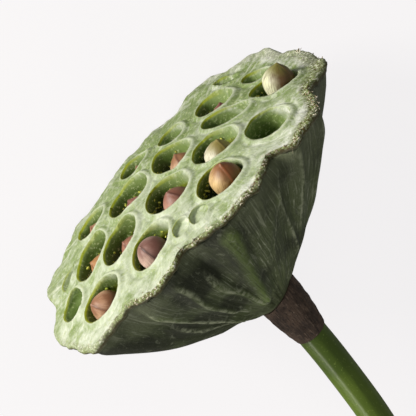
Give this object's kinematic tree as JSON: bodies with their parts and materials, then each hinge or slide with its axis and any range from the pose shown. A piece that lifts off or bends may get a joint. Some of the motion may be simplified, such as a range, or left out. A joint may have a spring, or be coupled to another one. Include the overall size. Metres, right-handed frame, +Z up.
{
  "type": "lotus seed pod",
  "caption": "Fresh cone-shaped lotus seed pod lying on the scalloped rim of its face, with open cells, loose seeds, a scarred neck and a cut curved stalk.",
  "frame": {"origin": "bottom centre of the bounding box, on the table it lies on", "axes": "+Z up from the table; +Y along the length, from the pod's open face to the stalk's cut end; +X across the face"},
  "size_m": [0.1214, 0.1558, 0.0909],
  "materials": {
    "pod_skin": "matt waxy green face, dark velvety outer wall",
    "scar_bark": "rough, dry brown",
    "stalk_skin": "smooth satin green",
    "seed_coat_pink": "matt papery seed coat, pale pink",
    "seed_coat_tan": "matt papery seed coat, golden tan",
    "seed_coat_mauve": "matt papery seed coat, mauve brown",
    "seed_coat_cream": "matt seed coat, cream green"
  },
  "bodies": {
    "root": {"pod": "pod_skin", "collar": "scar_bark", "stalk": "stalk_skin", "seed_01": "seed_coat_pink", "seed_02": "seed_coat_tan", "seed_03": "seed_coat_pink", "seed_04": "seed_coat_mauve", "seed_05": "seed_coat_pink", "seed_06": "seed_coat_pink", "seed_07": "seed_coat_pink", "seed_08": "seed_coat_pink", "seed_09": "seed_coat_pink", "seed_10": "seed_coat_tan", "seed_11": "seed_coat_cream", "seed_12": "seed_coat_mauve", "seed_13": "seed_coat_cream"}
  },
  "joints": []
}
